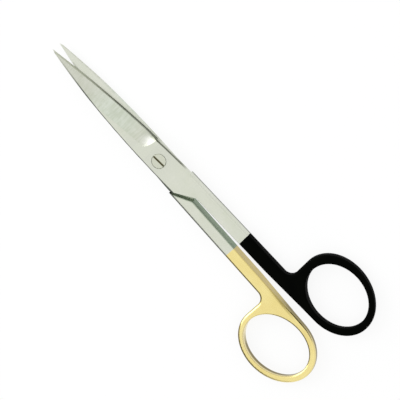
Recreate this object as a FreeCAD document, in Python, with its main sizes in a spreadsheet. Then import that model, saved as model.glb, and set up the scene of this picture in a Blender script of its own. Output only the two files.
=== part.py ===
import FreeCAD, Part
import math
import os
import re
import Sketcher

# Operating scissors, 145 mm long: two forged halves that cross in a lap joint on one slotted
# screw, with a hard insert along the inner edge of each blade. The finger rings lie along -X,
# the tips along +X, the screw stands along +Z, and the instrument lies on the plane z = 0.

# Every driving size in millimetres, or in degrees where the name says turn, angle or opening.
SIZES = {
    # The joint and the shanks.
    "overall_thickness": 4.8,
    "lap_gap": 0.05,
    "rest_opening": 3.0,
    "shoulder_outer_x": -10.9,
    "step_outer_x": -10.7,
    "step_inner_x": -18.6,
    "inner_wall_root": 0.45,
    "inner_wall_end": 0.1,
    "outer_wall_root": 5.2,
    "outer_wall_end": 4.65,
    "wall_end_x": -54.5,
    # The blades.
    "blade_length": 54.3,
    "tip_rise": 0.25,
    "back_height": 4.55,
    "back_radius": 390.0,
    "outer_wall_end_x": -7.76,
    "edge_start_x": 5.6,
    "edge_start_height": 5.0,
    "edge_radius": 480.0,
    "back_rounding": 0.45,
    "bevel_width": 0.35,
    "bevel_height": 0.75,
    "bevel_overrun": 1.1,
    "edge_land": 0.06,
    # The grinding of the outer blade face, as cut by a wheel that lies along the edge.
    "wheel_radius": 60.0,
    "wheel_offset": 12.0,
    "wheel_corner": 4.5,
    "wheel_start": 8.8,
    "wheel_sweep": 60.0,
    "ground_edge_height": 0.95,
    # The hard inserts.
    "insert_thickness": 0.6,
    "insert_start_x": 6.0,
    "insert_tip_distance": 8.3,
    "insert_root_width": 1.6,
    "insert_tip_width": 0.5,
    # The handles.
    "ring_thickness": 3.3,
    "neck_radius": 3.2,
    "outer_rounding": 1.1,
    "opening_rounding": 0.7,
    "opening_seam_turn": 180.0,
    "wall_fade": 16.0,
    "fade_depth": 1.7,
    "fade_start_chamfer": 0.05,
    "fade_end_chamfer": 0.75,
    "fade_drop": 0.2,
    # The finger ring of the front half: an outer ellipse beyond the shank, and an opening
    # ellipse whose centre is shifted from it.
    "front_ring_distance": 22.77,
    "front_ring_half_length": 15.73,
    "front_ring_half_width": 12.49,
    "front_ring_turn": -7.5,
    "front_opening_shift_along": -0.26,
    "front_opening_shift_aside": -0.02,
    "front_opening_half_length": 12.54,
    "front_opening_half_width": 10.2,
    "front_opening_turn": -2.5,
    # The finger ring of the rear half, in the same turned-over position as the front one.
    "rear_ring_distance": 21.7,
    "rear_ring_half_length": 15.3,
    "rear_ring_half_width": 12.15,
    "rear_ring_turn": -8.1,
    "rear_opening_shift_along": 0.15,
    "rear_opening_shift_aside": -0.13,
    "rear_opening_half_length": 12.87,
    "rear_opening_half_width": 9.95,
    "rear_opening_turn": -10.0,
    # The pivot screw.
    "screw_head_radius": 2.65,
    "screw_head_height": 1.3,
    "screw_shank_radius": 1.6,
    "screw_thread_radius": 1.4,
    "screw_clearance": 0.05,
    "slot_width": 0.6,
    "slot_depth": 0.8,
    "slot_turn": 3.5,
    "screw_rim_chamfer": 0.12,
}

document = FreeCAD.newDocument("OperatingScissors")
sheet = document.addObject("Spreadsheet::Sheet", "Sizes")
for row, (alias, number) in enumerate(SIZES.items(), start=1):
    sheet.set(f"A{row}", alias)
    sheet.set(f"B{row}", str(number))
    sheet.setAlias(f"B{row}", alias)
document.recompute()

ALIAS = re.compile(r"[a-z]+(?:_[a-z]+)+")
TOLERANCE = 1e-4
SMALLEST_CUT = 1.0
SMALLEST_FILL = 0.5


def bound(expression):
    """The expression as another object of the document writes it."""
    return ALIAS.sub(lambda word: "Sizes." + word.group(0), expression)


def size(expression):
    """The value of an expression of the sheet's sizes."""
    return float(sheet.evalExpression(expression))


def new_sketch(body, name, plane, height=None):
    sketch = body.newObject("Sketcher::SketchObject", name)
    origin = [part for part in body.Origin.OriginFeatures if part.Role == plane][0]
    sketch.AttachmentSupport = (origin, [""])
    sketch.MapMode = "FlatFace"
    if height:
        sketch.setExpression("AttachmentOffset.Base.z", bound(height))
    return sketch


def hold(sketch, kind, *where):
    """Add a driving constraint whose value, the last item, is an expression."""
    expression = where[-1]
    index = sketch.addConstraint(Sketcher.Constraint(kind, *where[:-1], size(expression)))
    sketch.setExpression(f"Constraints[{index}]", bound(expression))


def draw_outline(sketch, corners, arcs=None):
    """A closed outline, anticlockwise through corners given as expressions.

    arcs maps the number of a corner to the radius of the arc that leaves it; a radius with a
    minus sign in front bends inwards.
    """
    arcs = arcs or {}
    points = [FreeCAD.Vector(size(x), size(y), 0) for x, y in corners]
    ends = []
    for number, start in enumerate(points):
        finish = points[(number + 1) % len(points)]
        if number not in arcs:
            edge = sketch.addGeometry(Part.LineSegment(start, finish), False)
            ends.append((edge, 1, 2))
            continue
        inwards = arcs[number].startswith("-")
        radius = size(arcs[number].lstrip("-"))
        chord = finish - start
        aside = FreeCAD.Vector(-chord.y, chord.x, 0).normalize()
        reach = math.sqrt(radius ** 2 - (chord.Length / 2) ** 2)
        centre = (start + finish) / 2 + aside * (-reach if inwards else reach)
        first, last = (finish, start) if inwards else (start, finish)
        angles = [math.atan2(end.y - centre.y, end.x - centre.x) for end in (first, last)]
        circle = Part.Circle(centre, FreeCAD.Vector(0, 0, 1), radius)
        edge = sketch.addGeometry(Part.ArcOfCircle(circle, *angles), False)
        ends.append((edge, 2, 1) if inwards else (edge, 1, 2))
        hold(sketch, "Radius", edge, arcs[number].lstrip("-"))
    for number, (x, y) in enumerate(corners):
        edge, start, _ = ends[number]
        before, _, finish = ends[number - 1]
        sketch.addConstraint(Sketcher.Constraint("Coincident", before, finish, edge, start))
        hold(sketch, "DistanceX", -1, 1, edge, start, x)
        hold(sketch, "DistanceY", -1, 1, edge, start, y)


def draw_ellipse(sketch, half_length, half_width):
    ellipse = Part.Ellipse(
        FreeCAD.Vector(size(half_length), 0, 0),
        FreeCAD.Vector(0, size(half_width), 0),
        FreeCAD.Vector(0, 0, 0))
    curve = sketch.addGeometry(ellipse, False)
    sketch.exposeInternalGeometry(curve)
    long_axis, short_axis = curve + 1, curve + 2
    sketch.addConstraint(Sketcher.Constraint("Coincident", curve, 3, -1, 1))
    sketch.addConstraint(Sketcher.Constraint("PointOnObject", long_axis, 1, -1))
    hold(sketch, "DistanceX", -1, 1, long_axis, 1, half_length)
    hold(sketch, "DistanceY", -1, 1, short_axis, 1, half_width)


def feature(body, kind, name, sketch):
    made = body.newObject("PartDesign::" + kind, name)
    made.Profile = sketch
    sketch.Visibility = False
    return made


def round_edges(body, name, base, radius, wanted):
    """Fillet the edges of the base feature for which wanted(edge) is true."""
    document.recompute()
    names = [f"Edge{i}" for i, edge in enumerate(base.Shape.Edges, start=1) if wanted(edge)]
    fillet = body.newObject("PartDesign::Fillet", name)
    fillet.Base = (base, names)
    fillet.setExpression("Radius", bound(radius))
    document.recompute()
    return fillet


def check_cut(cut):
    """Recompute a cut and see that it took material away and left one solid."""
    document.recompute()
    removed = cut.BaseFeature.Shape.Volume - cut.Shape.Volume
    if removed < SMALLEST_CUT or len(cut.Shape.Solids) != 1:
        raise RuntimeError(f"{cut.Name} took {removed:.3f} mm3 away")


# The plan of the shank's outer side is one straight line, given by its two ends. The cutting edge
# is an arc of its own radius that starts beyond the joint and ends at the tip.
SIDE_SLOPE = "((outer_wall_root - outer_wall_end) / (outer_wall_end_x - wall_end_x))"
EDGE_LENGTH = "(blade_length - edge_start_x)"
EDGE_RISE = "(edge_start_height + tip_rise)"
EDGE_CHORD = f"sqrt({EDGE_LENGTH}^2 + {EDGE_RISE}^2)"
EDGE_REACH = f"sqrt(edge_radius^2 - ({EDGE_CHORD} / 2)^2)"
EDGE_CENTRE_X = f"((edge_start_x + blade_length) / 2 - {EDGE_RISE} / {EDGE_CHORD} * {EDGE_REACH})"
EDGE_CENTRE_Y = f"((tip_rise - edge_start_height) / 2 + {EDGE_LENGTH} / {EDGE_CHORD} * {EDGE_REACH})"
INSERT_END_X = "(blade_length - insert_tip_distance)"
LAP_HEIGHT = "(lap_gap / 2)"


def side_at(x):
    """The y of the shank's outer side at a place along the shank."""
    return f"(({x} - outer_wall_end_x) * -{SIDE_SLOPE} - outer_wall_root)"


def edge_at(x):
    """The y of the cutting edge at a place along the blade."""
    return f"({EDGE_CENTRE_Y} - sqrt(edge_radius^2 - ({x} - {EDGE_CENTRE_X})^2))"


def ring_extent(half, across):
    """How far a ring's outer ellipse reaches from its centre along Y or, across, along X."""
    turn = f"({half}_ring_turn * 1 deg)"
    long, short = f"{half}_ring_half_length", f"{half}_ring_half_width"
    if across:
        return f"sqrt(({long} * cos({turn}))^2 + ({short} * sin({turn}))^2)"
    return f"sqrt(({short} * cos({turn}))^2 + ({long} * sin({turn}))^2)"


def ring_centre(half):
    """The centre of a ring: its crest touches the line on which the shank's inner wall ends."""
    x = f"(wall_end_x - {half}_ring_distance)"
    return x, f"(-inner_wall_end - {ring_extent(half, across=False)})"


def ring_reach(half, across):
    """The point where a ring's outer ellipse is tangent to a line along X or, across, along Y."""
    turn = f"({half}_ring_turn * 1 deg)"
    long, short = f"{half}_ring_half_length", f"{half}_ring_half_width"
    mixed = f"({long}^2 - {short}^2) * sin({turn}) * cos({turn})"
    x, y = ring_centre(half)
    reach = ring_extent(half, across)
    if across:
        return f"({x} + {reach})", f"({y} + {mixed} / {reach})"
    return f"({x} + {mixed} / {reach})", f"({y} + {reach})"


def opening_centre(half):
    x, y = ring_centre(half)
    return f"({x} + {half}_opening_shift_along)", f"({y} + {half}_opening_shift_aside)"


def place_opening(sketch, half):
    x, y = opening_centre(half)
    sketch.setExpression("AttachmentOffset.Base.x", bound(x))
    sketch.setExpression("AttachmentOffset.Base.y", bound(y))
    turn = f"({half}_opening_turn + opening_seam_turn) * 1 deg"
    sketch.setExpression("AttachmentOffset.Rotation.Angle", bound(turn))


def full_thickness(pad):
    pad.SideType = "Symmetric"
    pad.setExpression("Length", bound("overall_thickness"))


def near(value, expression, tolerance=TOLERANCE):
    return abs(value - size(expression)) < tolerance


def middle(edge):
    return edge.valueAt((edge.FirstParameter + edge.LastParameter) / 2)


def is_upright(edge):
    ends = [vertex.Point for vertex in edge.Vertexes]
    return len(ends) == 2 and (ends[0] - ends[1]).cross(FreeCAD.Vector(0, 0, 1)).Length < TOLERANCE


def is_on_opening(edge, half):
    """Whether the middle of an edge lies on the ellipse of the finger opening."""
    turn = math.radians(size(f"{half}_opening_turn"))
    centre = FreeCAD.Vector(*[size(place) for place in opening_centre(half)], 0)
    out = middle(edge) - centre
    along = out.x * math.cos(turn) + out.y * math.sin(turn)
    aside = out.y * math.cos(turn) - out.x * math.sin(turn)
    share = math.hypot(along / size(f"{half}_opening_half_length"),
                       aside / size(f"{half}_opening_half_width"))
    return abs(share - 1) < TOLERANCE


def is_on_side(edge):
    """Whether an edge runs along the straight outer side of the shank."""
    point = middle(edge)
    return abs(point.y - size(side_at(str(point.x)))) < TOLERANCE


def draw_ring(sketch, half):
    """The outside of the ring and its neck: an ellipse's arc between two lines tangent to it."""
    turn = size(f"{half}_ring_turn * pi / 180")
    long, short = size(f"{half}_ring_half_length"), size(f"{half}_ring_half_width")
    centre_x, centre_y = ring_centre(half)
    centre = FreeCAD.Vector(size(centre_x), size(centre_y), 0)
    along = FreeCAD.Vector(math.cos(turn), math.sin(turn), 0)
    aside = FreeCAD.Vector(-math.sin(turn), math.cos(turn), 0)
    ellipse = Part.Ellipse(centre + along * long, centre + aside * short, centre)
    crest, neck = [
        FreeCAD.Vector(size(x), size(y), 0)
        for x, y in (ring_reach(half, across=False), ring_reach(half, across=True))]
    ends = [ellipse.parameter(point) for point in (crest, neck)]
    arc = sketch.addGeometry(Part.ArcOfEllipse(ellipse, *ends), False)
    corners = [
        neck,
        FreeCAD.Vector(neck.x, size(side_at(str(neck.x))), 0),
        FreeCAD.Vector(size("wall_end_x"), size(side_at("wall_end_x")), 0),
        FreeCAD.Vector(size("wall_end_x"), crest.y, 0),
        crest]
    lines = [sketch.addGeometry(Part.LineSegment(start, finish), False)
             for start, finish in zip(corners, corners[1:])]
    sketch.exposeInternalGeometry(arc)
    long_axis, short_axis = lines[-1] + 1, lines[-1] + 2
    for before, after in zip(lines, lines[1:]):
        sketch.addConstraint(Sketcher.Constraint("Coincident", before, 2, after, 1))
    sketch.addConstraint(Sketcher.Constraint("Tangent", arc, 2, lines[0], 1))
    sketch.addConstraint(Sketcher.Constraint("Tangent", lines[-1], 2, arc, 1))
    sketch.addConstraint(Sketcher.Constraint("Vertical", lines[0]))
    sketch.addConstraint(Sketcher.Constraint("Horizontal", lines[-1]))
    hold(sketch, "DistanceX", -1, 1, arc, 3, centre_x)
    hold(sketch, "DistanceY", -1, 1, arc, 3, centre_y)
    hold(sketch, "DistanceX", arc, 3, long_axis, 1,
         f"{half}_ring_half_length * cos({half}_ring_turn * 1 deg)")
    hold(sketch, "DistanceY", arc, 3, long_axis, 1,
         f"{half}_ring_half_length * sin({half}_ring_turn * 1 deg)")
    hold(sketch, "Distance", short_axis, 1, short_axis, 2, f"2 * {half}_ring_half_width")
    neck_x = ring_reach(half, across=True)[0]
    hold(sketch, "DistanceY", -1, 1, lines[1], 1, side_at(neck_x))
    hold(sketch, "DistanceX", -1, 1, lines[2], 1, "wall_end_x")
    hold(sketch, "DistanceY", -1, 1, lines[2], 1, side_at("wall_end_x"))
    hold(sketch, "DistanceX", -1, 1, lines[3], 1, "wall_end_x")


def make_ring(half):
    """The finger ring with its neck, from the end of the shank's flat inner wall on."""
    body = document.addObject("PartDesign::Body", half + "_ring")
    outside = new_sketch(body, half + "_ring_plan", "XY_Plane")
    draw_ring(outside, half)
    full_thickness(feature(body, "Pad", half + "_ring_blank", outside))
    neck_x = ring_reach(half, across=True)[0]
    round_edges(body, half + "_neck", body.Tip, "neck_radius", lambda edge: (
        is_upright(edge) and near(middle(edge).x, neck_x) and near(middle(edge).y, side_at(neck_x))))

    inside = new_sketch(body, half + "_opening_plan", "XY_Plane")
    place_opening(inside, half)
    draw_ellipse(inside, f"{half}_opening_half_length", f"{half}_opening_half_width")
    opening = feature(body, "Pocket", half + "_opening", inside)
    opening.Type = "ThroughAll"
    opening.SideType = "Symmetric"
    check_cut(opening)

    # Two long arcs, tangent to the flat faces of the shank, thin the ring towards its far end.
    end_x = f"({ring_centre(half)[0]} - {half}_ring_half_length)"
    drop = "((overall_thickness - ring_thickness) / 2)"
    reach = f"(wall_end_x - {end_x})"
    radius = f"-(({reach}^2 + {drop}^2) / (2 * {drop}))"
    flat, clear = "overall_thickness / 2", "overall_thickness"
    side_view = new_sketch(body, half + "_side_view", "XZ_Plane")
    draw_outline(side_view, [
        ("wall_end_x", flat),
        ("wall_end_x", clear),
        (end_x, clear),
        (end_x, f"{flat} - {drop}")], {3: radius})
    draw_outline(side_view, [
        ("wall_end_x", "-" + flat),
        (end_x, f"{drop} - {flat}"),
        (end_x, "-" + clear),
        ("wall_end_x", "-" + clear)], {0: radius})
    thinning = feature(body, "Pocket", half + "_thinning", side_view)
    thinning.Type = "ThroughAll"
    thinning.SideType = "Symmetric"
    check_cut(thinning)

    round_edges(body, half + "_outer_rounding", thinning, "outer_rounding", lambda edge: (
        not is_upright(edge) and not is_on_opening(edge, half)
        and not near(middle(edge).x, "wall_end_x")))
    round_edges(body, half + "_opening_rounding", body.Tip, "opening_rounding",
                lambda edge: is_on_opening(edge, half) and not is_upright(edge))
    fade_wall(body, half)
    return body


def fade_wall(body, half):
    """Fill the ring's inner corners so that their rounding grows slowly out of the square wall."""
    flat = "overall_thickness / 2"
    ends = (("start", "wall_end_x", flat, "fade_start_chamfer"),
            ("end", "wall_end_x - wall_fade", f"{flat} - fade_drop", "fade_end_chamfer"))
    sections = []
    for end, place, height, chamfer in ends:
        section = new_sketch(body, f"{half}_fade_{end}", "YZ_Plane", place)
        draw_outline(section, [
            ("-inner_wall_end - fade_depth", f"-({height})"),
            (f"-inner_wall_end - {chamfer}", f"-({height})"),
            ("-inner_wall_end", f"{chamfer} - ({height})"),
            ("-inner_wall_end", f"{height} - {chamfer}"),
            (f"-inner_wall_end - {chamfer}", height),
            ("-inner_wall_end - fade_depth", height)])
        sections.append(section)
    fill = feature(body, "AdditiveLoft", half + "_wall_fade", sections[0])
    fill.Sections = [(sections[1], [""])]
    fill.Ruled = True
    document.recompute()
    added = fill.Shape.Volume - fill.BaseFeature.Shape.Volume
    if added < SMALLEST_FILL or len(fill.Shape.Solids) != 1:
        raise RuntimeError(f"{fill.Name} added {added:.3f} mm3")


def add_shank(body, half):
    """The straight shank, from the step of the joint to the finger ring."""
    plan = new_sketch(body, half + "_shank_plan", "XY_Plane")
    draw_outline(plan, [
        ("step_outer_x", side_at("step_outer_x")),
        ("step_inner_x", "-inner_wall_root"),
        ("wall_end_x", "-inner_wall_end"),
        ("wall_end_x", side_at("wall_end_x"))])
    full_thickness(feature(body, "Pad", half + "_shank", plan))
    round_edges(body, half + "_shank_rounding", body.Tip, "outer_rounding",
                lambda edge: is_on_side(edge) and not is_upright(edge))
    join = body.newObject("PartDesign::Boolean", half + "_forging")
    join.Type = "Fuse"
    join.Group = [make_ring(half)]
    document.recompute()


def add_blade(body, half):
    """The half-thick blade with its part of the lap joint, ground outside and bevelled."""
    plan = new_sketch(body, half + "_blade_plan", "XY_Plane", LAP_HEIGHT)
    draw_outline(plan, [
        ("blade_length", "tip_rise"),
        ("0", "back_height"),
        ("shoulder_outer_x", "back_height"),
        ("step_inner_x", "-inner_wall_root"),
        ("step_outer_x", side_at("step_outer_x")),
        ("outer_wall_end_x", "-outer_wall_root"),
        ("edge_start_x", "-edge_start_height")], {0: "back_radius", 6: "edge_radius"})
    blade = feature(body, "Pad", half + "_blade", plan)
    blade.setExpression("Length", bound(f"overall_thickness / 2 - {LAP_HEIGHT}"))
    round_edges(body, half + "_back_rounding", blade, "back_rounding", lambda edge: (
        middle(edge).z > size("overall_thickness / 2") - TOLERANCE
        and middle(edge).y > 0 and middle(edge).x > size("shoulder_outer_x")))
    grind_face(body, half)
    add_bevel(body, half)
    seat = new_sketch(body, half + "_insert_seat_plan", "XY_Plane", LAP_HEIGHT)
    draw_insert(seat)
    rebate = feature(body, "Pocket", half + "_insert_seat", seat)
    rebate.setExpression("Length", bound("insert_thickness"))
    rebate.Reversed = True
    check_cut(rebate)


def grind_face(body, half):
    """Hollow the outer face with a large wheel whose axis lies beside and above the edge."""
    turn = f"atan((tip_rise - {edge_at('wheel_start')}) / (blade_length - wheel_start))"
    floor = (f"({LAP_HEIGHT} + ground_edge_height"
             " - wheel_radius + sqrt(wheel_radius^2 - wheel_offset^2))")
    corner_x = "(wheel_start - blade_length)"
    wheel = new_sketch(body, half + "_wheel_section", "XZ_Plane")
    wheel.setExpression("AttachmentOffset", bound(
        f"placement(vector(blade_length + wheel_offset * sin({turn}); 0;"
        f" wheel_offset * cos({turn}) - tip_rise); rotation(vector(0; 1; 0); {turn}))"))
    draw_outline(wheel, [
        (f"{corner_x} - wheel_corner", f"{floor} + wheel_corner"),
        (corner_x, floor),
        ("wheel_corner", floor),
        ("wheel_corner", f"{floor} + 2 * wheel_corner"),
        (f"{corner_x} - wheel_corner", f"{floor} + 2 * wheel_corner")], {0: "wheel_corner"})
    axis_height = f"{floor} + wheel_radius"
    add_axis(wheel, (corner_x, axis_height), (f"{corner_x} + wheel_corner", axis_height))
    grind = feature(body, "Groove", half + "_ground_face", wheel)
    grind.ReferenceAxis = (wheel, ["Axis0"])
    grind.setExpression("Angle", bound("wheel_sweep"))
    grind.Midplane = True
    check_cut(grind)


def add_axis(sketch, start, finish):
    """A construction line to turn a section about."""
    ends = [FreeCAD.Vector(size(x), size(y), 0) for x, y in (start, finish)]
    line = sketch.addGeometry(Part.LineSegment(*ends), True)
    for point, (x, y) in ((1, start), (2, finish)):
        hold(sketch, "DistanceX", -1, 1, line, point, x)
        hold(sketch, "DistanceY", -1, 1, line, point, y)


def add_bevel(body, prefix):
    """Set the cutting side back in a bevel that follows the arc of the edge."""
    section = new_sketch(body, prefix + "_bevel_section", "YZ_Plane", EDGE_CENTRE_X)
    land = f"({LAP_HEIGHT} + edge_land)"
    top = f"({LAP_HEIGHT} + bevel_height)"
    edge_y = f"({EDGE_CENTRE_Y} - edge_radius)"
    draw_outline(section, [
        (edge_y, land),
        (f"{edge_y} + bevel_width", top),
        (f"{edge_y} + bevel_width", "overall_thickness"),
        (f"{edge_y} - bevel_width", "overall_thickness"),
        (f"{edge_y} - bevel_width", land)])
    add_axis(section, (EDGE_CENTRE_Y, "0"), (EDGE_CENTRE_Y, "overall_thickness"))
    bevel = feature(body, "Groove", prefix + "_bevel", section)
    bevel.ReferenceAxis = (section, ["Axis0"])
    blade_angle = f"asin((blade_length - {EDGE_CENTRE_X}) / edge_radius)"
    bevel.setExpression("Angle", bound(f"bevel_overrun * {blade_angle}"))
    check_cut(bevel)


def draw_insert(sketch):
    """The long strip of a hard insert, one side on the cutting edge."""
    start_y, end_y = edge_at("insert_start_x"), edge_at(INSERT_END_X)
    draw_outline(sketch, [
        ("insert_start_x", start_y),
        (INSERT_END_X, end_y),
        (INSERT_END_X, f"{end_y} + insert_tip_width"),
        ("insert_start_x", f"{start_y} + insert_root_width")],
        {0: "edge_radius", 2: "-edge_radius"})


def make_insert(half):
    name = half + "_carbide_insert"
    body = document.addObject("PartDesign::Body", name)
    plan = new_sketch(body, name + "_plan", "XY_Plane", LAP_HEIGHT)
    draw_insert(plan)
    strip = feature(body, "Pad", name + "_strip", plan)
    strip.setExpression("Length", bound("insert_thickness"))
    document.recompute()
    add_bevel(body, name)
    return body


def draw_circle(sketch, radius):
    circle = Part.Circle(FreeCAD.Vector(), FreeCAD.Vector(0, 0, 1), size(radius))
    curve = sketch.addGeometry(circle, False)
    sketch.addConstraint(Sketcher.Constraint("Coincident", curve, 3, -1, 1))
    hold(sketch, "Radius", curve, radius)


def drill(body, name, radius, depth=None):
    """A round hole on the pivot axis, right through or to a depth below the outer face."""
    plan = new_sketch(body, name + "_plan", "XY_Plane", "overall_thickness / 2")
    draw_circle(plan, radius)
    hole = feature(body, "Pocket", name, plan)
    if depth:
        hole.setExpression("Length", bound(depth))
    else:
        hole.Type = "ThroughAll"
    check_cut(hole)


def make_half(half):
    body = document.addObject("PartDesign::Body", half + "_half")
    add_shank(body, half)
    add_blade(body, half)
    return body


def make_screw():
    """The turned pivot screw: a flush slotted head, a plain shank and a thread."""
    body = document.addObject("PartDesign::Body", "pivot_screw")
    section = new_sketch(body, "screw_section", "XZ_Plane")
    seat = f"overall_thickness / 2 - {LAP_HEIGHT}"
    head_base = "overall_thickness - screw_head_height"
    draw_outline(section, [
        ("0", "0"),
        ("screw_thread_radius", "0"),
        ("screw_thread_radius", seat),
        ("screw_shank_radius", seat),
        ("screw_shank_radius", head_base),
        ("screw_head_radius", head_base),
        ("screw_head_radius", "overall_thickness"),
        ("0", "overall_thickness")])
    turned = feature(body, "Revolution", "turned_screw", section)
    turned.ReferenceAxis = (section, ["V_Axis"])
    document.recompute()
    chamfer = body.newObject("PartDesign::Chamfer", "screw_rim")
    rim = [f"Edge{i}" for i, edge in enumerate(turned.Shape.Edges, start=1)
           if near(edge.BoundBox.ZMin, "overall_thickness") and edge.Curve.TypeId == "Part::GeomCircle"]
    chamfer.Base = (turned, rim)
    chamfer.setExpression("Size", bound("screw_rim_chamfer"))
    document.recompute()
    slot = new_sketch(body, "screw_slot_plan", "XY_Plane", "overall_thickness")
    slot.setExpression("AttachmentOffset.Rotation.Angle", bound("slot_turn * 1 deg"))
    draw_outline(slot, [
        ("screw_head_radius + slot_width", "slot_width / 2"),
        ("-screw_head_radius - slot_width", "slot_width / 2"),
        ("-screw_head_radius - slot_width", "-slot_width / 2"),
        ("screw_head_radius + slot_width", "-slot_width / 2")])
    cut = feature(body, "Pocket", "screw_slot", slot)
    cut.setExpression("Length", bound("slot_depth"))
    check_cut(cut)
    return body


AXIS_Z = "vector(0; 0; 1)"
AXIS_X = "vector(1; 0; 0)"
RAISED = "vector(0; 0; overall_thickness / 2)"
PLACES = {
    "front": f"placement({RAISED}; rotation({AXIS_Z}; rest_opening / 2))",
    "rear": f"placement({RAISED}; rotation({AXIS_Z}; -rest_opening / 2) * rotation({AXIS_X}; 180))",
}

subparts = [make_screw()]
for half, place in PLACES.items():
    for body in (make_half(half), make_insert(half)):
        body.setExpression("Placement", bound(place))
        subparts.append(body)
front_half, rear_half = [document.getObject(half + "_half") for half in PLACES]
drill(front_half, "front_screw_hole", "screw_shank_radius + screw_clearance")
drill(front_half, "front_head_seat", "screw_head_radius + screw_clearance",
      "screw_head_height + screw_clearance")
drill(rear_half, "rear_screw_hole", "screw_thread_radius")

document.recompute()
for item in document.Objects:
    if "Invalid" in item.State or "Error" in item.State:
        raise RuntimeError(f"{item.Name} failed: {item.State}")
for body in subparts:
    if body.Shape.isNull() or not body.Shape.isValid():
        raise RuntimeError(f"{body.Name} has no valid solid")

os.makedirs("parts", exist_ok=True)
for body in subparts:
    body.Label = body.Name
    body.Shape.exportStep(os.path.join("parts", body.Label + ".step"))
    box = body.Shape.optimalBoundingBox(True, False)
    print(f"{body.Label}: {body.Shape.Volume:.2f} mm3, {len(body.Shape.Solids)} solid,"
          f" x {box.XMin:.2f} to {box.XMax:.2f}, y {box.YMin:.2f} to {box.YMax:.2f},"
          f" z {box.ZMin:.2f} to {box.ZMax:.2f}")
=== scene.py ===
# %% [markdown]
# Operating scissors lie on a white table: two steel halves that cross on one slotted screw, one
# with a black finger ring and one with a gold ring. Their shapes come from the CAD model, which
# is loaded here as a fixed frame. Blender adds what the CAD can't hold: how steel is ground and
# blasted, how the handles are coated, and the light in which all of that is seen.

# %% Load the frame
import functools
import math

import bpy
from mathutils import Matrix, Vector


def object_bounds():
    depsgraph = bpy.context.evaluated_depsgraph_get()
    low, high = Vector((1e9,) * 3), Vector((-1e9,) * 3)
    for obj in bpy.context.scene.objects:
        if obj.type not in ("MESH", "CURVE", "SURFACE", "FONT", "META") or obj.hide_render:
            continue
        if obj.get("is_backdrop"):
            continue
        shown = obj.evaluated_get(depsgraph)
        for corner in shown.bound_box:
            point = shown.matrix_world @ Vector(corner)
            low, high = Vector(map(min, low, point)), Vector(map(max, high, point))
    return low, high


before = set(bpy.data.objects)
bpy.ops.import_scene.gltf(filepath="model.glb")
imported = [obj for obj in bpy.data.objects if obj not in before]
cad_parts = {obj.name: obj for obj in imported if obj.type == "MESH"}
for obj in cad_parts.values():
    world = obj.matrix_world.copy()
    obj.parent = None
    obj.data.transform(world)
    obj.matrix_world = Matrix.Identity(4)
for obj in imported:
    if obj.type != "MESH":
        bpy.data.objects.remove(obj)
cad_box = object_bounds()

print("nodes:", sorted(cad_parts))
print("CAD box in mm:", [[round(1000 * value, 2) for value in corner] for corner in cad_box])

# %% [markdown]
# Millimetres are the unit of a workshop drawing, and Blender counts in metres. Sizes are written
# in millimetres and multiplied by this one value where Blender needs metres.

# %% Millimetres
MM = 0.001
print("one millimetre is", MM, "m")

# %% [markdown]
# The camera looks down at the table from 70 degrees above it, on the side of the black ring, and
# it is rolled so that the tips point up and to the left. One pixel of the picture is 0.3515 mm,
# so a picture of 400 pixels is 140.6 mm wide at the scissors. A long lens keeps the rings and the
# tips at one scale. The direction of the long axis in the picture gives the roll: the view's
# right and up directions are worked out from it, and no angle has to be found by trial.

# %% Place the camera
PIXEL = 0.3515 * MM
PIXELS_ACROSS = 400
PICTURE = PIXELS_ACROSS * PIXEL
TILT = math.radians(20)
ROLL = math.radians(-132.51)
SCREW_HEAD = Vector((0, 0, 4.8 * MM))
HEAD_IN_PICTURE = (158.66, 161.36)
LENS = 600
CLIP_START = 10 * MM

towards_camera = Vector((0, -math.sin(TILT), math.cos(TILT)))
along_axis = Vector((1, 0, 0))
across_axis = towards_camera.cross(along_axis)
view_right = math.cos(ROLL) * along_axis + math.sin(ROLL) * across_axis
view_up = -math.sin(ROLL) * along_axis + math.cos(ROLL) * across_axis

camera_data = bpy.data.cameras.new("studio_camera")
camera_data.lens = LENS
camera_data.clip_start = CLIP_START
distance = PICTURE * LENS / camera_data.sensor_width
centre = (SCREW_HEAD + view_right * (PIXELS_ACROSS / 2 - HEAD_IN_PICTURE[0]) * PIXEL
          - view_up * (PIXELS_ACROSS / 2 - HEAD_IN_PICTURE[1]) * PIXEL)
camera = bpy.data.objects.new("studio_camera", camera_data)
bpy.context.scene.collection.objects.link(camera)
turn = Matrix((view_right, view_up, towards_camera)).transposed().to_4x4()
camera.matrix_world = Matrix.Translation(centre + towards_camera * distance) @ turn
bpy.context.scene.camera = camera
print("camera is", round(distance, 3), "m from the scissors")

# %% [markdown]
# Colours are picked as a screen shows them, in hex, and the renderer counts in linear light. One
# function turns the first into the second, so every colour below can be read and compared.

# %% Colours
def linear(hex_colour):
    """A hex colour as the linear red, green, blue and alpha that a shader takes."""
    parts = [int(hex_colour[start:start + 2], 16) / 255 for start in (1, 3, 5)]
    return [part / 12.92 if part <= 0.04045 else ((part + 0.055) / 1.055) ** 2.4
            for part in parts] + [1.0]


print("satin steel in linear light:", [round(part, 3) for part in linear("#DEE0D3")])

# %% [markdown]
# A finish is a small network of nodes. One function adds a node, gives it its settings and joins
# it to the nodes before it, so that each line below reads as one decision. It names sockets as
# Blender's own panels do.

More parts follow.
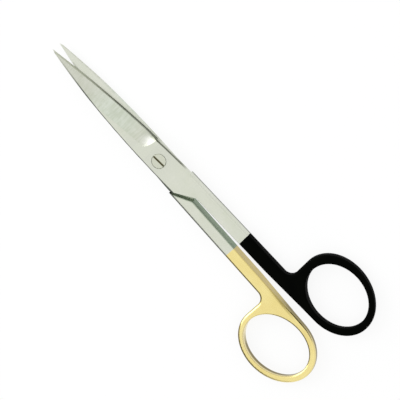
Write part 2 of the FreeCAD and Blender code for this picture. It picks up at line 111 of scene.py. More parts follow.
# %% Add a node
def add_node(tree, kind, settings=None, links=None):
    """Add a node with its settings and links, and return it.

    A setting in small letters is an option of the node. Any other setting, and each link, names a
    socket that the node shows, or its number where names repeat. A link starts at a socket, or
    at the first output that a node shows.
    """
    node = tree.nodes.new("ShaderNode" + kind)
    settings = settings or {}
    options = [name for name in settings if str(name).islower()]
    for name in options:
        setattr(node, name, settings[name])
    sockets = {put.name: put for put in list(node.inputs)[::-1] if put.enabled}
    sockets.update(enumerate(node.inputs))
    for name, value in settings.items():
        if name not in options:
            sockets[name].default_value = value
    for name, source in (links or {}).items():
        if isinstance(source, bpy.types.Node):
            source = next(put for put in source.outputs if put.enabled)
        tree.links.new(source, sockets[name])
    return node


def new_finish(name):
    """An empty material, and add_node for its nodes."""
    material = bpy.data.materials.new(name)
    material.use_nodes = True
    material.node_tree.nodes.clear()
    print("new finish:", name)
    return material, functools.partial(add_node, material.node_tree)


# %% [markdown]
# Both halves are the same forging, one of them turned over, and each lies 1.5 degrees off the
# long axis at rest. Painting or wrapping a picture would need flat copies of every face. Instead,
# the finish asks each place where it is: along the half, across it, how high, and which way it
# faces. The answers come in millimetres from the half's own coordinates, so a finish stays on its
# piece when the scissors open, and one description serves both halves.
#
# Many nodes below are slopes. A slope is a Map Range node: it rises from 0 to 1 while a measure
# goes from a first value to a second. Its settings are kept with a name that says what it finds.

# %% Measures on a half
REST_TURN = math.radians(1.5)
MEETING_PLANE = 2.4
STANDS_UPRIGHT = {"From Min": 0.8, "From Max": 0.3}


def half_measures(add, side):
    """Measures of a place on a half; side is 1 for the front half and -1 for the rear half."""
    own = add("TexCoord").outputs
    turned = add("VectorRotate", {"rotation_type": "Z_AXIS", "Angle": -side * REST_TURN},
                 {"Vector": own["Object"]})
    place = add("VectorMath", {"operation": "SCALE", "Scale": 1 / MM}, {0: turned})
    axes = add("SeparateXYZ", {}, {"Vector": place}).outputs
    normal = add("SeparateXYZ", {}, {"Vector": own["Normal"]}).outputs
    level = add("Math", {"operation": "ABSOLUTE"}, {0: normal["Z"]})
    above_plane = add("Math", {"operation": "SUBTRACT", 1: MEETING_PLANE}, {0: axes["Z"]})
    return {
        "side": side, "place": place, "along": axes["X"], "across": axes["Y"],
        "height": axes["Z"],
        # Positive towards the other half's shank, negative towards this blade's cutting edge.
        "aside": add("Math", {"operation": "MULTIPLY", 1: side}, {0: axes["Y"]}),
        # How far a place lies from the plane in which the halves meet.
        "lifted": add("Math", {"operation": "ABSOLUTE"}, {0: above_plane}),
        # 1 where a face stands upright, 0 where it is level.
        "upright": add("MapRange", STANDS_UPRIGHT, {"Value": level}),
        # How much a face looks towards the other half's shank, from -1 to 1.
        "inward": add("Math", {"operation": "MULTIPLY", 1: side}, {0: normal["Y"]}),
    }


print("the halves meet", MEETING_PLANE, "mm above the table")

# %% [markdown]
# An edge of a blasted forging is never quite sharp. The Bevel node gives the direction in which
# the surface would face if its edges were rolled to a small radius, without any change to the
# mesh. It answers in the room's directions, so they are turned back into the piece's own.

# %% Rolled edges
BEVEL_SAMPLES = 6


def rolled_lean(add, radius, direction):
    """How far the surface leans this way, from -1 to 1, once its edges are rolled."""
    rolled = add("Bevel", {"samples": BEVEL_SAMPLES, "Radius": radius * MM})
    own = add("VectorTransform",
              {"vector_type": "NORMAL", "convert_from": "WORLD", "convert_to": "OBJECT"},
              {"Vector": rolled})
    return add("VectorMath", {"operation": "DOT_PRODUCT", 1: direction}, {0: own})


print("rolled edges are felt with", BEVEL_SAMPLES, "samples")

# %% [markdown]
# A mask says where a tone lies, as a number from 0 to 1. Each mask here is a chain of slopes,
# and each slope rises only to what the one before it has left. So a place is in the mask only
# where all the measures allow it. Its edge is soft where a slope's two values lie far apart and
# sharp where they are close.
#
# The inner walls of the shanks and handles face the other half across a narrow gap. Their darker,
# greener tone is painted shade of that gap and a painted reflection of the shaded table under the
# other half. On the lower half this painted shade runs over the wall's upper edge, a little onto
# the face, as far as the ring.

# %% Painted shade on the walls between the shanks
# Painted shade and painted reflection of the gap between the halves, as the walls' colour.
SHANK_WALL_SHADE_GREEN = "#81937A"
SHOULDER = -9.0
RING_START = -66.0
WALL_ROLL = 0.8
FACES_INWARD = {"From Min": -0.4, "From Max": 0.1}
ROLLED_INWARD = {"From Min": 0.15, "From Max": 0.35}
BEFORE_THE_RING = {"From Min": RING_START - 8, "From Max": RING_START}
BEHIND_THE_SHOULDER = {"From Min": SHOULDER, "From Max": SHOULDER - 1}
LARGER = {"operation": "MAXIMUM"}


def shank_walls(add, at):
    """Painted shade: 1 on the upright walls of a shank and a handle that face the other half."""
    walls = add("MapRange", FACES_INWARD, {"Value": at["inward"], "To Max": at["upright"]})
    if at["side"] < 0:
        # Painted shade that runs over the lower half's rolled wall edge onto the face.
        lean = rolled_lean(add, WALL_ROLL, (0, at["side"], 0)).outputs["Value"]
        rolled_over_shade = add("MapRange", ROLLED_INWARD, {"Value": lean})
        rolled_over_shade = add("MapRange", BEFORE_THE_RING, {"Value": at["along"], "To Max": rolled_over_shade})
        walls = add("Math", LARGER, {0: walls, 1: rolled_over_shade})
    return add("MapRange", BEHIND_THE_SHOULDER, {"Value": at["along"], "To Max": walls})


print("shank walls start", -SHOULDER, "mm behind the screw, the rings", -RING_START, "mm")

# %% [markdown]
# The wall under the cutting side of a blade is honed, last of all and along the edge. Its dark
# tone is a painted reflection of the shaded blade below it, one dark line that pales towards the
# tip.
# The insert continues the same painted line in its own material.

# %% Painted reflection on the wall under the cutting edge
# The painted reflection's dark grey, and the paler tone it fades to near the tip.
PAINTED_REFLECTION_GREY = "#5F6450"
PALE_AT_THE_TIP = "#D4D7C8"
PALING = {"From Min": 25, "From Max": 50}
STRAIGHT_WALL = {"From Min": 0.55, "From Max": 1}
# Each row is a measure, and the values at which the mask starts and is full.
PAINTED_REFLECTION_WALL = (
    ("inward", -0.1, -0.5),
    ("aside", 1, 0.5),
    ("lifted", 0.2, 0.7),
    ("along", SHOULDER, SHOULDER + 3),
)


def honed_wall(add, at):
    """The mask and tone of the painted dark reflection on a blade's upright wall under its
    cutting side.
    """
    mask = add("MapRange", STRAIGHT_WALL, {"Value": at["upright"]})
    for measure, start, full in PAINTED_REFLECTION_WALL:
        mask = add("MapRange", {"From Min": start, "From Max": full},
                   {"Value": at[measure], "To Max": mask})
    tone = add("Mix", {"data_type": "RGBA", "A": linear(PAINTED_REFLECTION_GREY),
                       "B": linear(PALE_AT_THE_TIP)},
               {"Factor": add("MapRange", PALING, {"Value": at["along"]})})
    return mask, tone


print("the honed line pales from", PALING["From Min"], "to", PALING["From Max"],
      "mm before the screw")

# %% [markdown]
# The foot of the outer walls, on the table side, is painted dark: painted shade of the table's
# contact shadow, which the lowest part of a wall would mirror. This dark foot draws the near
# outline of a shank. It starts at one height, fades upwards, and may reach higher on a ring,
# where it also runs round the inside.

# %% Painted shade at the foot of the outer walls
FOOT_HEIGHT = 2.1
FOOT_SOFTNESS = 0.9
FACES_OUTWARD = {"From Min": 0.2, "From Max": -0.2}
ROUND_THE_RING = {"From Min": RING_START + 1, "From Max": RING_START - 3}
RISING_TO_THE_RING = {"From Min": RING_START + 8, "From Max": RING_START + 2}


def foot_line(add, at, ring_foot):
    """Painted shade: 1 at the outer walls' foot, and all round the ring, where it may reach
    higher.
    """
    top = add("MapRange", {**RISING_TO_THE_RING, "To Min": FOOT_HEIGHT, "To Max": ring_foot},
              {"Value": at["along"]})
    above = add("Math", {"operation": "SUBTRACT"}, {0: at["height"], 1: top})
    outer = add("MapRange", FACES_OUTWARD, {"Value": at["inward"]})
    ring = add("MapRange", ROUND_THE_RING, {"Value": at["along"]})
    line = add("Math", {"operation": "MULTIPLY"},
               {0: at["upright"], 1: add("Math", LARGER, {0: outer, 1: ring})})
    for measure, start, full in ((above, 0, -FOOT_SOFTNESS),
                                 (at["along"], SHOULDER, SHOULDER - 3)):
        line = add("MapRange", {"From Min": start, "From Max": full},
                   {"Value": measure, "To Max": line})
    return line


print("the foot is dark below", round(FOOT_HEIGHT - FOOT_SOFTNESS, 2), "mm")

# %% [markdown]
# The same painted shade lies on the rolled edge of the far side and along the curved back of the
# blade, where the rounded edges turn away from the light. These thin lines draw the outline of
# pale steel against a white table. The back of the blade is one arc, so its line is where a place
# lies nearly one radius from the arc's centre.

# %% Painted shade lines along the edges
# The grey of the painted shade lines on the steel.
OUTLINE_SHADE_GREY = "#5E635A"
EDGE_ROLL = 0.35
FAR_SIDE = (0.5, 0.87, 0)
BACK_RADIUS = 390.0
BACK_CENTRE = (-3.56, -385.44, 0)
ROLLED_TO_THE_FAR_SIDE = {"From Min": 0.25, "From Max": 0.6}
ON_THE_BACK = {"From Min": BACK_RADIUS - 0.55, "From Max": BACK_RADIUS - 0.3}
BACK_STARTS = {"From Min": -12, "From Max": -11}
# The lines thin out towards the tip, as the blade does, but don't quite end.
THINNING = {"From Min": 51, "From Max": 36, "To Min": 0.1}


def edge_lines(add, at, ring_foot=FOOT_HEIGHT):
    """Painted shade lines: 1 on the far side of each edge, on a blade's back and at the walls'
    foot.
    """
    lean = rolled_lean(add, EDGE_ROLL, FAR_SIDE).outputs["Value"]
    far_edge = add("MapRange", ROLLED_TO_THE_FAR_SIDE, {"Value": lean})
    in_plane = add("VectorMath", {"operation": "MULTIPLY", 1: (1, 1, 0)}, {0: at["place"]})
    from_centre = add("VectorMath", {"operation": "DISTANCE", 1: BACK_CENTRE},
                      {0: in_plane}).outputs["Value"]
    back = add("MapRange", ON_THE_BACK, {"Value": from_centre})
    back = add("MapRange", BACK_STARTS, {"Value": at["along"], "To Max": back})
    lines = far_edge
    for line in (foot_line(add, at, ring_foot), back):
        lines = add("Math", LARGER, {0: lines, 1: line})
    thinning = add("MapRange", THINNING, {"Value": at["along"]})
    return add("Math", {"operation": "MULTIPLY"}, {0: lines, 1: thinning})


print("a blade's back is an arc of", BACK_RADIUS, "mm")

# %% [markdown]
# The outer face of a blade is hollow ground on a wheel, and lies a little below the flat face,
# which lies 2.4 mm from the plane where the halves meet. So its height alone tells it from the
# flat face, and the two tones part along the real edge that the wheel left.

# %% Hollow ground face
BELOW_THE_FLAT = {"From Min": 2.34, "From Max": 2.26}
HOLLOW_FACE = (("lifted", 0.1, 0.2), ("along", 4, 7))


def hollow_face(add, at):
    """1 on the hollow ground face of the blade, which lies below the flat outer face."""
    mask = add("MapRange", BELOW_THE_FLAT, {"Value": at["lifted"]})
    for measure, start, full in HOLLOW_FACE:
        mask = add("MapRange", {"From Min": start, "From Max": full},
                   {"Value": at[measure], "To Max": mask})
    return mask


print("the hollow face starts", round(MEETING_PLANE - BELOW_THE_FLAT["From Min"], 2),
      "mm below the flat face")

# %% [markdown]
# The hollow face turns a little greener from 12 mm on, and a little darker from 27 mm on towards
# the tip and again next to the run-out. Where the wheel ran out, next to the screw, a painted
# highlight makes the steel brightest, and painted shade dims it again at its lip. Streaks across
# the blade and soft patches show the wheel's pressure, and are laid on by multiplying, as a thin
# glaze of grey.

# %% Tones and painted highlight of the hollow ground face
HOLLOW_STEEL = "#DDE0D3"
COOLER_HOLLOW_STEEL = "#DCE2D5"
COOLER = {"From Min": 12, "From Max": 18}
# Each row is a measure, the values at which a tone starts and is full, and that tone.
HOLLOW_TONES = (("along", 27, 36, "#D5D7CA"), ("along", 11.5, 9.5, "#D3D6C9"))
RUN_OUT_STARTS = {"From Min": 4, "From Max": 5}
RUN_OUT_ENDS = {"From Min": 11, "From Max": 8}
# A painted highlight in the wheel's run-out, and painted shade at its lip.
RUN_OUT_HIGHLIGHT_AND_SHADE = (("aside", 0.8, -2.2, "#F4F4F0"), ("aside", -3.4, -4.4, "#A9AD9F"))
STREAKS = {"operation": "MULTIPLY_ADD", 1: 1.1, 2: -0.05}
PRESSED = {"From Min": 0.8, "From Max": 1.25}
PRESSURE_GREY = "#EBEDE7"


def hollow_tone(add, at, clouds, grain):
    """The hollow face's colour, with the run-out's painted highlight and shade, and the run-out's
    mask.
    """
    run_out = add("MapRange", RUN_OUT_STARTS, {"Value": at["along"]})
    run_out = add("MapRange", RUN_OUT_ENDS, {"Value": at["along"], "To Max": run_out})
    tone = add("Mix", {"data_type": "RGBA", "A": linear(HOLLOW_STEEL),
                       "B": linear(COOLER_HOLLOW_STEEL)},
               {"Factor": add("MapRange", COOLER, {"Value": at["along"]})})
    for tones, limit in ((HOLLOW_TONES, {}), (RUN_OUT_HIGHLIGHT_AND_SHADE, {"To Max": run_out})):
        for measure, start, full, colour in tones:
            mask = add("MapRange", {"From Min": start, "From Max": full},
                       {"Value": at[measure], **limit})
            tone = add("Mix", {"data_type": "RGBA", "B": linear(colour)},
                       {"Factor": mask, "A": tone})
    pressure = add("Math", {"operation": "ADD"}, {0: clouds, 1: add("Math", STREAKS, {0: grain})})
    pressed = add("MapRange", PRESSED, {"Value": pressure})
    return add("Mix", {"data_type": "RGBA", "blend_type": "MULTIPLY",
                       "B": linear(PRESSURE_GREY)}, {"Factor": pressed, "A": tone}), run_out


print("the wheel's run-out lies", RUN_OUT_STARTS["From Min"], "to", RUN_OUT_ENDS["From Min"],
      "mm before the screw")

# %% [markdown]
# Stainless steel for surgery is satin: it is belt ground, then blasted with glass beads so that
# it throws no glare into the surgeon's eyes. That leaves faint clouds where the belt pressed
# harder, a fine grain, and the marks of the beads. The grain crosses the blade, because the
# blade is ground from the back to the edge. Each pattern is a noise, and its lumps get the real
# lengths. Real grinding lines are about 0.05 mm apart and bead marks as fine, too fine for this
# picture, so they are drawn 0.6 mm and 0.3 mm wide.

# %% Clouds, grain and bead marks
GRAIN_PITCH = 0.6
GRAIN_LENGTH = 4.0
CLOUD_SIZE = 7.0
BEAD_MARK = 0.3


def steel_noises(add, at):
    """Clouds of belt pressure, grain across the half, and the marks of the beads."""
    lumps = (((CLOUD_SIZE, CLOUD_SIZE * 0.6, CLOUD_SIZE), 3.0),
             ((GRAIN_PITCH, GRAIN_LENGTH, GRAIN_LENGTH), 2.0),
             ((BEAD_MARK, BEAD_MARK, BEAD_MARK), 2.0))
    for lengths, detail in lumps:
        scaled = add("VectorMath", {"operation": "DIVIDE", 1: lengths}, {0: at["place"]})
        yield add("TexNoise", {"Scale": 1.0, "Detail": detail}, {"Vector": scaled})


print("grain is drawn", GRAIN_PITCH, "mm apart, and its lines are", GRAIN_LENGTH, "mm long")

# %% [markdown]
# To the eye satin steel is a pale, slightly warm green-grey with soft reflections. The tones of
# the flat face and the hollow face, the painted shade of the walls and the painted dark lines are
# laid over each other like coats of paint, each through its mask. A polished metal has a
# roughness
# near 0.1 and a blasted one near 0.5: satin lies between.

# %% Satin ground stainless steel
FLAT_STEEL = "#DEE0D3"
CLOUDED_STEEL = "#D5D9C8"
GRAINED_STEEL = "#D8DBCE"
STEEL_ROUND_THE_SCREW = "#D6D9CC"
BEFORE_THE_SCREW = {"From Min": 15, "From Max": 11}
BEHIND_THE_SCREW = {"From Min": -8, "From Max": -2}
# Most of a noise lies between these two values.
NOISE_SPREAD = {"From Min": 0.3, "From Max": 0.7}
CLOUDY = {"From Min": 0.35, "From Max": 0.65}
GRAINY = {"From Min": 0.3, "From Max": 0.75}
SATIN_ROUGHNESS = {"To Min": 0.3, "To Max": 0.4}
RUN_OUT_ROUGHNESS = {"From Max": 0.5, "To Max": 0.55}
SATIN_RELIEF = {"Strength": 0.12, "Distance": 0.02 * MM}


def satin_steel(add, at):
    """The shader of the bare blade and shank."""
    clouds, grain, beads = steel_noises(add, at)
    round_screw = add("MapRange", BEHIND_THE_SCREW, {"Value": at["along"]})
    round_screw = add("MapRange", BEFORE_THE_SCREW,
                      {"Value": at["along"], "To Max": round_screw})
    cloudy = add("MapRange", CLOUDY, {"Value": clouds})
    grainy = add("MapRange", GRAINY, {"Value": grain})
    tint = add("Mix", {"data_type": "RGBA", "A": linear(FLAT_STEEL), "B": linear(CLOUDED_STEEL)},
               {"Factor": cloudy})
    for mask, colour in ((grainy, GRAINED_STEEL), (round_screw, STEEL_ROUND_THE_SCREW)):
        tint = add("Mix", {"data_type": "RGBA", "B": linear(colour)}, {"Factor": mask, "A": tint})
    hollow, run_out = hollow_tone(add, at, clouds, grain)
    tint = add("Mix", {"data_type": "RGBA"},
               {"Factor": hollow_face(add, at), "A": tint, "B": hollow})
    tint = add("Mix", {"data_type": "RGBA", "B": linear(SHANK_WALL_SHADE_GREEN)},
               {"Factor": shank_walls(add, at), "A": tint})
    painted_reflection, painted_reflection_tone = honed_wall(add, at)
    tint = add("Mix", {"data_type": "RGBA"}, {"Factor": painted_reflection, "A": tint, "B": painted_reflection_tone})
    tint = add("Mix", {"data_type": "RGBA", "B": linear(OUTLINE_SHADE_GREY)},
               {"Factor": edge_lines(add, at), "A": tint})
    satin = add("MapRange", {**NOISE_SPREAD, **SATIN_ROUGHNESS}, {"Value": grain})
    dulled = add("MapRange", RUN_OUT_ROUGHNESS, {"Value": run_out})
    relief = add("Math", {"operation": "ADD"}, {0: grain, 1: beads})
    return add("BsdfPrincipled", {"Metallic": 1.0}, {
        "Base Color": tint,
        "Roughness": add("Math", LARGER, {0: satin, 1: dulled}),
        "Normal": add("Bump", SATIN_RELIEF, {"Height": relief})})


print("satin steel has a roughness of", SATIN_ROUGHNESS["To Min"], "to",
      SATIN_ROUGHNESS["To Max"])

# %% [markdown]
# The handles tell the surgeon at a glance what the blades are: gold rings stand for hard inserts
# and black rings for an edge ground extra sharp. Both coatings end in one sharp line across the
# shank, where the half was masked. The masking was done by hand, so the line wavers by a few
# hundredths of a millimetre. Each half stays one forging, so one finish covers it, and this mask
# changes steel to coating.

# %% Where the coatings start
COATING_START = -40.5
COATING_WAVER = 0.06
WAVER_LENGTH = 0.8
MASKED_LINE = 0.05


def coated_end(add, at):
    """1 on the coated end of a half, 0 on the bare steel."""
    waver = add("TexNoise", {"Scale": 1 / WAVER_LENGTH}, {"Vector": at["place"]})
    shift = add("MapRange", {**NOISE_SPREAD, "To Min": -COATING_WAVER, "To Max": COATING_WAVER},
                {"Value": waver})
    along = add("Math", {"operation": "ADD"}, {0: at["along"], 1: shift})
    return add("MapRange", {"From Min": COATING_START, "From Max": COATING_START - MASKED_LINE},
               {"Value": along})


print("both coatings start", -COATING_START, "mm behind the screw")

# %% [markdown]
# The gold is plated over polished steel, a few thousandths of a millimetre thick, so it keeps
# the polish: smoother than the blades, a pale warm yellow. Its walls are painted olive as painted
# shade, with a painted dark line at their foot. They are painted browner in the narrow gap, as a
# painted reflection of the black handle beside it, and palest in the open ring, as a painted
# reflection of the table.

# %% Gold plate
COATING_CLOUDS = (9, 6, 9)
GOLD = "#F5E59E"
CLOUDED_GOLD = "#F0DD93"
# Painted shade and painted reflections on the gold walls, and the gold's painted shade lines.
GOLD_WALL_SHADE = "#C3B06E"
GOLD_WALL_GAP_REFLECTION = "#94874A"
GOLD_WALL_RING_REFLECTION = "#E8D9A2"
GOLD_OUTLINE_SHADE = "#78692C"
IN_THE_GAP = {"From Min": -59, "From Max": -74}
PAST_THE_NECK = {"From Min": -76, "From Max": -81}
OFF_THE_AXIS = {"From Min": 8, "From Max": 12}
RING_FOOT = 3.6
GOLD_MARK = 0.4
GOLD_ROUGHNESS = {"To Min": 0.2, "To Max": 0.28}
GOLD_RELIEF = {"Strength": 0.03, "Distance": 0.02 * MM}


def gold_plate(add, at):
    scaled = add("VectorMath", {"operation": "DIVIDE", 1: COATING_CLOUDS}, {0: at["place"]})
    clouds = add("TexNoise", {"Scale": 1.0}, {"Vector": scaled})
    cloudy = add("MapRange", CLOUDY, {"Value": clouds})
    in_gap = add("MapRange", IN_THE_GAP, {"Value": at["along"]})
    past_neck = add("MapRange", PAST_THE_NECK, {"Value": at["along"]})
    off_axis = add("MapRange", OFF_THE_AXIS, {"Value": at["across"]})
    in_ring = add("Math", LARGER, {0: past_neck, 1: off_axis})
    wall = add("Mix", {"data_type": "RGBA", "A": linear(GOLD_WALL_SHADE),
                       "B": linear(GOLD_WALL_GAP_REFLECTION)}, {"Factor": in_gap})
    wall = add("Mix", {"data_type": "RGBA", "B": linear(GOLD_WALL_RING_REFLECTION)},
               {"Factor": in_ring, "A": wall})
    tint = add("Mix", {"data_type": "RGBA", "A": linear(GOLD), "B": linear(CLOUDED_GOLD)},
               {"Factor": cloudy})
    tint = add("Mix", {"data_type": "RGBA"},
               {"Factor": shank_walls(add, at), "A": tint, "B": wall})
    tint = add("Mix", {"data_type": "RGBA", "B": linear(GOLD_OUTLINE_SHADE)},
               {"Factor": edge_lines(add, at, RING_FOOT), "A": tint})
    fine = add("TexNoise", {"Scale": 1 / GOLD_MARK}, {"Vector": at["place"]})
    return add("BsdfPrincipled", {"Metallic": 1.0}, {
        "Base Color": tint,
        "Roughness": add("MapRange", {**NOISE_SPREAD, **GOLD_ROUGHNESS}, {"Value": clouds}),
        "Normal": add("Bump", GOLD_RELIEF, {"Height": fine})})


print("gold plate has a roughness of", GOLD_ROUGHNESS["To Min"], "to", GOLD_ROUGHNESS["To Max"])

# %% [markdown]
# The black is a thin baked coating with hard particles in it. It is no metal and barely shines:
# to the eye one deep black shape with hardly a highlight, even on its rounded edges.

# %% Black coating
BLACK = "#050604"
CLOUDED_BLACK = "#030403"
BLACK_GRIT = 0.35
BLACK_ROUGHNESS = {"To Min": 0.5, "To Max": 0.6}
BLACK_RELIEF = {"Strength": 0.1, "Distance": 0.02 * MM}
BLACK_SHINE = 0.01


def black_coating(add, at):
    scaled = add("VectorMath", {"operation": "DIVIDE", 1: COATING_CLOUDS}, {0: at["place"]})
    clouds = add("TexNoise", {"Scale": 1.0}, {"Vector": scaled})
    tint = add("Mix", {"data_type": "RGBA", "A": linear(BLACK), "B": linear(CLOUDED_BLACK)},
               {"Factor": add("MapRange", CLOUDY, {"Value": clouds})})
    grit = add("TexNoise", {"Scale": 1 / BLACK_GRIT}, {"Vector": at["place"]})
    return add("BsdfPrincipled", {"Specular IOR Level": BLACK_SHINE}, {
        "Base Color": tint,
        "Roughness": add("MapRange", {**NOISE_SPREAD, **BLACK_ROUGHNESS}, {"Value": clouds}),
        "Normal": add("Bump", BLACK_RELIEF, {"Height": grit})})


print("black coating has a roughness of", BLACK_ROUGHNESS["To Min"], "to",
      BLACK_ROUGHNESS["To Max"])

# %% [markdown]
# Steel and coating are two shaders on one forging, mixed by the mask of the coated end. The
# front half gets the black one and the rear half the gold one.

# %% Finish each half
def coated_half(name, side, coating):
    """One half's finish: satin steel, with its coating from the masked line on."""
    material, add = new_finish(name)
    at = half_measures(add, side)
    mixed = add("MixShader", {}, {0: coated_end(add, at), 1: satin_steel(add, at),
                                  2: coating(add, at)})
    add("OutputMaterial", {}, {"Surface": mixed})
    print(name, "has", len(material.node_tree.nodes), "nodes")
    return material


black_half = coated_half("satin_steel_black_coated_handle", 1, black_coating)
gold_half = coated_half("satin_steel_gold_plated_handle", -1, gold_plate)

# %% [markdown]
# The inserts are sintered tungsten carbide, as hard as a drill's tip. It is darker than steel,
# and it is diamond ground along the edge, which leaves a smooth, dark grey gloss with fine lines
# along it. Its dark grey also carries on the painted dark reflection of the steel wall that it
# continues, and towards the tip it is painted paler, as that painted line fades.

# %% Ground tungsten carbide
GRIT_LINE = (2, 0.2, 0.2)
CARBIDE = "#6C7064"
LINED_CARBIDE = "#62665B"
CARBIDE_ROUGHNESS = {"To Min": 0.22, "To Max": 0.32}
CARBIDE_RELIEF = {"Strength": 0.08, "Distance": 0.01 * MM}


def ground_carbide():
    material, add = new_finish("diamond_ground_tungsten_carbide")
    place = add("VectorMath", {"operation": "SCALE", "Scale": 1 / MM},
                {0: add("TexCoord").outputs["Object"]})
    scaled = add("VectorMath", {"operation": "DIVIDE", 1: GRIT_LINE}, {0: place})
    grit = add("TexNoise", {"Scale": 1.0}, {"Vector": scaled})
    paling = add("MapRange", PALING,
                 {"Value": add("SeparateXYZ", {}, {"Vector": place}).outputs["X"]})
    tint = add("Mix", {"data_type": "RGBA", "A": linear(CARBIDE), "B": linear(LINED_CARBIDE)},
               {"Factor": add("MapRange", CLOUDY, {"Value": grit})})
    # Painted paler towards the tip, as the painted dark reflection fades.
    tint = add("Mix", {"data_type": "RGBA", "B": linear(PALE_AT_THE_TIP)},
               {"Factor": paling, "A": tint})
    shader = add("BsdfPrincipled", {"Metallic": 1.0}, {
        "Base Color": tint,
        "Roughness": add("MapRange", {**NOISE_SPREAD, **CARBIDE_ROUGHNESS}, {"Value": grit}),
        "Normal": add("Bump", CARBIDE_RELIEF, {"Height": grit})})
    add("OutputMaterial", {}, {"Surface": shader})
    return material


carbide = ground_carbide()

# %% [markdown]
# The slot of the screw is sawn. Its floor and a thin band along its sides are painted olive, as
# painted shade of the deep, narrow slot. The slot is cut in the solid, so the mask only has to
# find its floor by its height, and the band by how near a place lies to the slot's middle line.

# %% Painted shade in the screw's slot
# The painted shade of the slot and of the band beside it.
SLOT_SHADE_OLIVE = "#8E8C74"
SLOT_TURN = math.radians(3.5)
SLOT_REACH = 2.5
HEAD_HEIGHT = 4.79
SHARP = 0.05
BESIDE_THE_SLOT = {"From Min": 0.42, "From Max": 0.34}
NEAR_THE_TOP = {"From Min": 4.4, "From Max": 4.6}


def screw_slot(add, place):
    """Painted shade: 1 on the floor of the slot and on a thin band along its sides."""
    height = add("SeparateXYZ", {}, {"Vector": place}).outputs["Z"]
    in_plane = add("VectorMath", {"operation": "MULTIPLY", 1: (1, 1, 0)}, {0: place})
    radius = add("VectorMath", {"operation": "LENGTH"}, {0: in_plane})
    turned = add("VectorRotate", {"rotation_type": "Z_AXIS", "Angle": -SLOT_TURN},
                 {"Vector": place})
    aside = add("Math", {"operation": "ABSOLUTE"},
                {0: add("SeparateXYZ", {}, {"Vector": turned}).outputs["Y"]})
    slot_side_shade = add("MapRange", BESIDE_THE_SLOT, {"Value": aside})
    slot_side_shade = add("MapRange", NEAR_THE_TOP, {"Value": height, "To Max": slot_side_shade})
    floor = add("MapRange", {"From Min": HEAD_HEIGHT, "From Max": HEAD_HEIGHT - SHARP},
                {"Value": height})
    return add("MapRange", {"From Min": SLOT_REACH, "From Max": SLOT_REACH - SHARP},
               {"Value": radius, "To Max": add("Math", LARGER, {0: slot_side_shade, 1: floor})})


print("the slot is turned", round(math.degrees(SLOT_TURN), 1), "degrees off the long axis")

# %% [markdown]
# The screw is turned on a lathe from the same steel. A cutting tool that moves outwards over a
# turning face leaves rings round the centre, so its fine grain is drawn as rings. Real ones are
# about 0.1 mm apart, and are drawn 0.35 mm apart to show.

# %% Turned screw steel
TOOL_FEED = 0.35
# A wave texture of scale 1 has this many rings to a unit.
RINGS_TO_A_UNIT = 20 / 6.28
SCREW_FACE = "#D6D9C8"
SCREW_RINGS = "#CED1C0"
SCREW_ROUGHNESS = 0.3
SCREW_RELIEF = {"Strength": 0.1, "Distance": 0.01 * MM}


def turned_steel():
    material, add = new_finish("turned_stainless_steel")
    place = add("VectorMath", {"operation": "SCALE", "Scale": 1 / MM},
                {0: add("TexCoord").outputs["Object"]})
    rings = add("TexWave", {"wave_type": "RINGS", "rings_direction": "Z", "Distortion": 0.4,
                            "Detail": 1.0, "Scale": 1 / (TOOL_FEED * RINGS_TO_A_UNIT)},
                {"Vector": place}).outputs["Fac"]
    tint = add("Mix", {"data_type": "RGBA", "A": linear(SCREW_FACE), "B": linear(SCREW_RINGS)},
               {"Factor": rings})
    tint = add("Mix", {"data_type": "RGBA", "B": linear(SLOT_SHADE_OLIVE)},
               {"Factor": screw_slot(add, place), "A": tint})
    shader = add("BsdfPrincipled", {"Metallic": 1.0, "Roughness": SCREW_ROUGHNESS}, {
        "Base Color": tint,
        "Normal": add("Bump", SCREW_RELIEF, {"Height": rings})})
    add("OutputMaterial", {}, {"Surface": shader})
    return material


screw_steel = turned_steel()

# %% [markdown]
# Each CAD object keeps its shape and its place and only gets its finish.

# %% Put the finishes on
FINISHES = {
    "front_half": black_half,
    "rear_half": gold_half,
    "front_carbide_insert": carbide,
    "rear_carbide_insert": carbide,
    "pivot_screw": screw_steel,
}
for node_name, finish in FINISHES.items():
    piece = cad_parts[node_name]
    piece.data.materials.clear()
    piece.data.materials.append(finish)
    print(node_name, "has", len(piece.data.polygons), "faces and the finish", finish.name)

# %% [markdown]
# The table is a sheet of matt white paper that runs out of the picture on all sides. The picture
# shows it as pure white, so most of its light is white of its own to the camera and to the
# mirror images in steel, and the rest is lit paper, which keeps the scissors' shadow.

# %% White paper table
TABLE_SIZE = 3.0
TABLE_BELOW = 0.02 * MM
WHITENED = 0.88
# Real paper fibres are far too fine for this picture, so they are drawn as 20 mm clouds.
FIBRE_CLOUDS = 20 * MM
PAPER_WHITE = "#F6F6F6"
FIBRE_WHITE = "#F8F8F8"


def paper():
    material, add = new_finish("matt_white_paper")
    fibres = add("TexNoise", {"Scale": 1 / FIBRE_CLOUDS, "Detail": 2.0},
                 {"Vector": add("TexCoord").outputs["Object"]})
    tint = add("Mix", {"data_type": "RGBA", "A": linear(PAPER_WHITE), "B": linear(FIBRE_WHITE)},
               {"Factor": fibres})
    sheet = add("BsdfPrincipled", {"Roughness": 0.9, "Specular IOR Level": 0.1},
                {"Base Color": tint})
    glow = add("Emission", {"Strength": 1.0})
    ray = add("LightPath").outputs
    seen = ray["Is Camera Ray"]
    for kind in ("Is Glossy Ray", "Is Transmission Ray"):
        seen = add("Math", LARGER, {0: seen, 1: ray[kind]})
    share = add("MapRange", {"To Max": WHITENED}, {"Value": seen})
    mixed = add("MixShader", {}, {0: share, 1: sheet, 2: glow})
    add("OutputMaterial", {}, {"Surface": mixed})
    return material


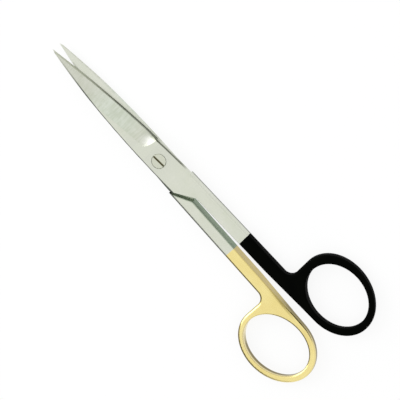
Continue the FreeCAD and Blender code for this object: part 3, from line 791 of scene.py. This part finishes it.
corners = [(TABLE_SIZE * x, TABLE_SIZE * y, 0) for x, y in ((-1, -1), (1, -1), (1, 1), (-1, 1))]
table_mesh = bpy.data.meshes.new("table")
table_mesh.from_pydata(corners, [], [(0, 1, 2, 3)])
table_mesh.materials.append(paper())
table = bpy.data.objects.new("table", table_mesh)
table.location.z = -TABLE_BELOW
bpy.context.scene.collection.objects.link(table)
table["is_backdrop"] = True
print("the table is", 2 * TABLE_SIZE, "m wide")

# %% [markdown]
# A light tent surrounds such a picture: white cloth on all sides and above, lit from outside. The
# cloth is a little dimmer straight above, where the camera looks in, and near the table. Steel
# shows the cloth as a mirror would, so these soft steps of light are what shapes the blades. A
# dark card hangs low on the gold ring's side, and gives the rounded edges there a dark rim. The
# camera itself sees plain white behind everything.

# %% Light tent
# Each step is a height, from 0 at the table to 1 overhead, and the cloth's brightness there.
CLOTH_LEVELS = ((0.0, 0.75), (0.25, 0.95), (0.6, 1.0), (0.92, 1.0), (1.0, 0.85))
DARK_CARD = "#3A3C36"
CARD_EDGE = {"From Min": 0.7, "From Max": 0.92}
CAMERA_WHITE = "#FFFFFF"
world = bpy.data.worlds.new("light_tent")
world.use_nodes = True
world.node_tree.nodes.clear()
hang = functools.partial(add_node, world.node_tree)
direction = hang("SeparateXYZ", {}, {"Vector": hang("TexCoord").outputs["Generated"]}).outputs
cloth = hang("ValToRGB", {}, {"Fac": direction["Z"]})
stops = cloth.color_ramp.elements
for number, (height, level) in enumerate(CLOTH_LEVELS):
    stop = stops[number] if number < 2 else stops.new(height)
    stop.position = height
    stop.color = (level, level, level, 1)
card = hang("MapRange", CARD_EDGE, {"Value": direction["Y"]})
camera_ray = hang("LightPath").outputs["Is Camera Ray"]
seen = cloth
for mask, colour in ((card, DARK_CARD), (camera_ray, CAMERA_WHITE)):
    seen = hang("Mix", {"data_type": "RGBA", "B": linear(colour)}, {"Factor": mask, "A": seen})
glow = hang("Background", {"Strength": 1.0}, {"Color": seen})
hang("OutputWorld", {}, {"Surface": glow})
bpy.context.scene.world = world
print("the tent's cloth has", len(stops), "levels of light")

# %% [markdown]
# One wide softbox stands beyond the tips, a little brighter than the cloth. Only the short curved
# run-out at the root of the ground face leans that way, so it shows as a white spot, which the
# painted highlight in its colour makes whiter still. The colours are shown as they are, with the
# Standard view.

# %% Softbox beyond the tips
SOFTBOX_DIRECTION = Vector((0.85, 0.34, 0.36))
SOFTBOX_DISTANCE = 1.1
SOFTBOX_WIDTH = 0.95
SOFTBOX_WATTS = 8.0

softbox_light = bpy.data.lights.new("tip_softbox", "AREA")
softbox_light.size = SOFTBOX_WIDTH
softbox_light.energy = SOFTBOX_WATTS
softbox = bpy.data.objects.new("tip_softbox", softbox_light)
softbox.location = SOFTBOX_DIRECTION.normalized() * SOFTBOX_DISTANCE
softbox.rotation_euler = (-softbox.location).to_track_quat("-Z", "Y").to_euler()
bpy.context.scene.collection.objects.link(softbox)
bpy.context.scene.view_settings.view_transform = "Standard"
print("the softbox stands at", [round(value, 2) for value in softbox.location])

# %% Print the sizes and finish
sizes = {name: [list(corner) for corner in box]
         for name, box in (("cad", cad_box), ("visual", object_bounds()))}
print("sizes:", sizes)
